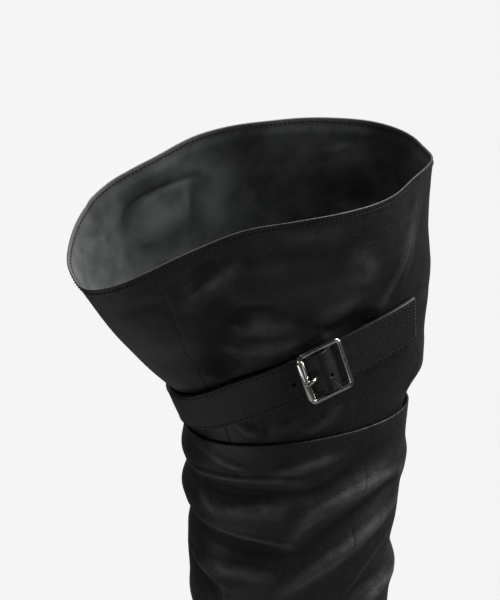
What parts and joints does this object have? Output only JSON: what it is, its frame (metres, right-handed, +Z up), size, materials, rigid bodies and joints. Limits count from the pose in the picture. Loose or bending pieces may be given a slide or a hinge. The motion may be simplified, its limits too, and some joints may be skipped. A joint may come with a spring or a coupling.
{
  "type": "slouch boot",
  "caption": "Left slouch boot: soft folded shaft, flared cuff cinched by a strap with a square roller buckle, on a thin sole with a block heel.",
  "frame": {"origin": "on the floor under the middle of the boot's box", "axes": "+Z up, +X towards the toe, +Y towards the outer side of the left foot"},
  "size_m": [0.2676, 0.1222, 0.4963],
  "materials": {
    "shaft_leather": "soft matt black leather with slouch folds",
    "cuff_leather": "soft matt black leather outside, grey cloth lining inside",
    "strap_leather": "smooth matt black, edge stitched",
    "polished_steel": "polished nickel",
    "sole_rubber": "matt black",
    "heel_leather": "black leather covering",
    "lining_cloth": "grey fine weave"
  },
  "bodies": {
    "root": {"upper": "shaft_leather", "cuff": "cuff_leather", "strap": "strap_leather", "buckle_frame": "polished_steel", "buckle_roller": "polished_steel", "buckle_prong": "polished_steel", "outsole": "sole_rubber", "insole": "lining_cloth", "heel_block": "heel_leather", "heel_top_piece": "sole_rubber"}
  },
  "joints": []
}
